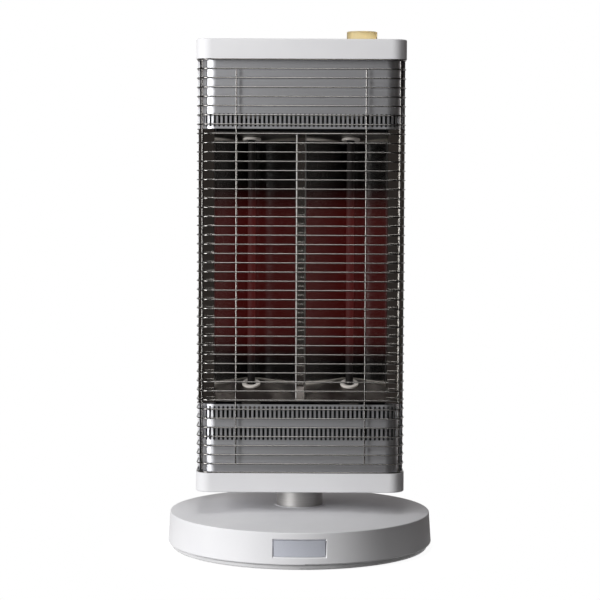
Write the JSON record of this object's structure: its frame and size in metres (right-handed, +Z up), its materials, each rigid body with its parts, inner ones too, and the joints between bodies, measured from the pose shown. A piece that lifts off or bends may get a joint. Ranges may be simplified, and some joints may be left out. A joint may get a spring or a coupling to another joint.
{
  "type": "far infrared heater",
  "caption": "Upright far infrared room heater: round base with foot switch, swivelling and tilting head, rod heaters in polished troughs, wire guard and heat dial.",
  "frame": {"origin": "on the floor, under the middle of the round base", "axes": "+Z up, the front with the guard and the foot switch faces -Y, +X to the right seen from the front"},
  "size_m": [0.35, 0.35, 0.6835],
  "materials": {
    "white_plastic": "smooth satin white",
    "plate_steel": "light grey paint",
    "foot_rubber": "matt dark grey",
    "fastener_steel": "zinc plated",
    "cast_aluminium": "as cast",
    "bearing_plastic": "off-white, low friction",
    "motor_steel": "zinc plated",
    "black_plastic": "matt black",
    "spring_steel": "bright",
    "silver_plastic": "silver metallic",
    "post_aluminium": "turned and brushed",
    "zinc_sheet": "zinc coated sheet",
    "silver_sheet": "satin silver sheet",
    "polished_sheet": "polished to a mirror",
    "grey_sheet": "bright rolled, darkened by heat",
    "heater_sheath": "dark coated sheath, dull red when hot",
    "pale_ceramic": "pale unglazed ceramic",
    "guard_wire": "polished stainless wire",
    "gold_plastic": "champagne gold",
    "board_laminate": "green laminate",
    "standoff_brass": "plain"
  },
  "bodies": {
    "base": {"base_cover": "white_plastic", "base_plate": "plate_steel", "rubber_feet": "foot_rubber", "base_screws": "fastener_steel", "cord_gland": "foot_rubber", "swivel_pedestal": "cast_aluminium", "pedestal_screws": "fastener_steel", "swivel_bush": "bearing_plastic", "thrust_washer": "bearing_plastic", "retainer_washer": "fastener_steel", "retainer_nut": "fastener_steel", "oscillation_motor": "motor_steel", "motor_screws": "fastener_steel", "switch_housing": "white_plastic", "push_switch": "black_plastic", "button_springs": "spring_steel", "tip_switch_body": "black_plastic", "tip_spring": "spring_steel", "terminal_block": "black_plastic"},
    "foot_button": {"foot_button": "silver_plastic"},
    "tip_plunger": {"tip_plunger": "black_plastic"},
    "drive_pinion": {"drive_pinion": "bearing_plastic"},
    "neck": {"neck_post": "post_aluminium", "swivel_gear": "bearing_plastic", "tilt_bracket": "zinc_sheet", "friction_washers": "bearing_plastic", "tilt_pin": "fastener_steel", "tilt_nut": "fastener_steel"},
    "head": {"bottom_tray": "white_plastic", "top_cap": "white_plastic", "lower_chassis": "zinc_sheet", "upper_chassis": "zinc_sheet", "tray_screws": "fastener_steel", "cap_screws": "fastener_steel", "back_plate": "zinc_sheet", "upper_front_panel": "silver_sheet", "lower_front_panel": "silver_sheet", "rear_cover": "white_plastic", "rear_standoffs": "fastener_steel", "rear_cover_screws": "fastener_steel", "left_reflector": "polished_sheet", "right_reflector": "polished_sheet", "lower_end_plate": "grey_sheet", "upper_end_plate": "grey_sheet", "heater_rings": "pale_ceramic", "left_heater": "heater_sheath", "right_heater": "heater_sheath", "heater_holders": "pale_ceramic", "centre_divider": "grey_sheet", "left_side_shield": "grey_sheet", "right_side_shield": "grey_sheet", "guard_bars": "guard_wire", "guard_uprights": "guard_wire", "tilt_hinges": "zinc_sheet", "dial_potentiometer": "black_plastic", "control_board": "board_laminate", "board_standoffs": "standoff_brass", "thermal_cutout": "zinc_sheet"},
    "heat_dial": {"heat_dial": "gold_plastic"}
  },
  "joints": [
    {"name": "swivel", "type": "hinge", "parent": "base", "child": "neck", "pos_m": [0, 0, 0.058], "axis": [0, 0, 1], "range_deg": [-35, 35]},
    {"name": "pinion_turn", "type": "hinge", "parent": "base", "child": "drive_pinion", "pos_m": [0.062, 0, 0.04], "axis": [0, 0, 1], "range_deg": [-121, 121]},
    {"name": "tilt", "type": "hinge", "parent": "neck", "child": "head", "pos_m": [0, 0, 0.095], "axis": [-1, 0, 0], "range_deg": [0, 15]},
    {"name": "dial_turn", "type": "hinge", "parent": "head", "child": "heat_dial", "pos_m": [0.0793, 0, 0.67], "axis": [0, 0, -1], "range_deg": [0, 270]},
    {"name": "foot_press", "type": "slide", "parent": "base", "child": "foot_button", "axis": [0, 1, 0], "range_m": [0, 0.004], "stiffness_N_per_m": 800, "springref_m": -0.004, "deforming": ["button_springs"]},
    {"name": "tip_drop", "type": "slide", "parent": "base", "child": "tip_plunger", "axis": [0, 0, -1], "range_m": [0, 0.004], "stiffness_N_per_m": 150, "springref_m": 0.008, "deforming": ["tip_spring"]}
  ],
  "couplings": [
    {"joint": "pinion_turn", "follows": "swivel", "ratio": -3.4286}
  ]
}
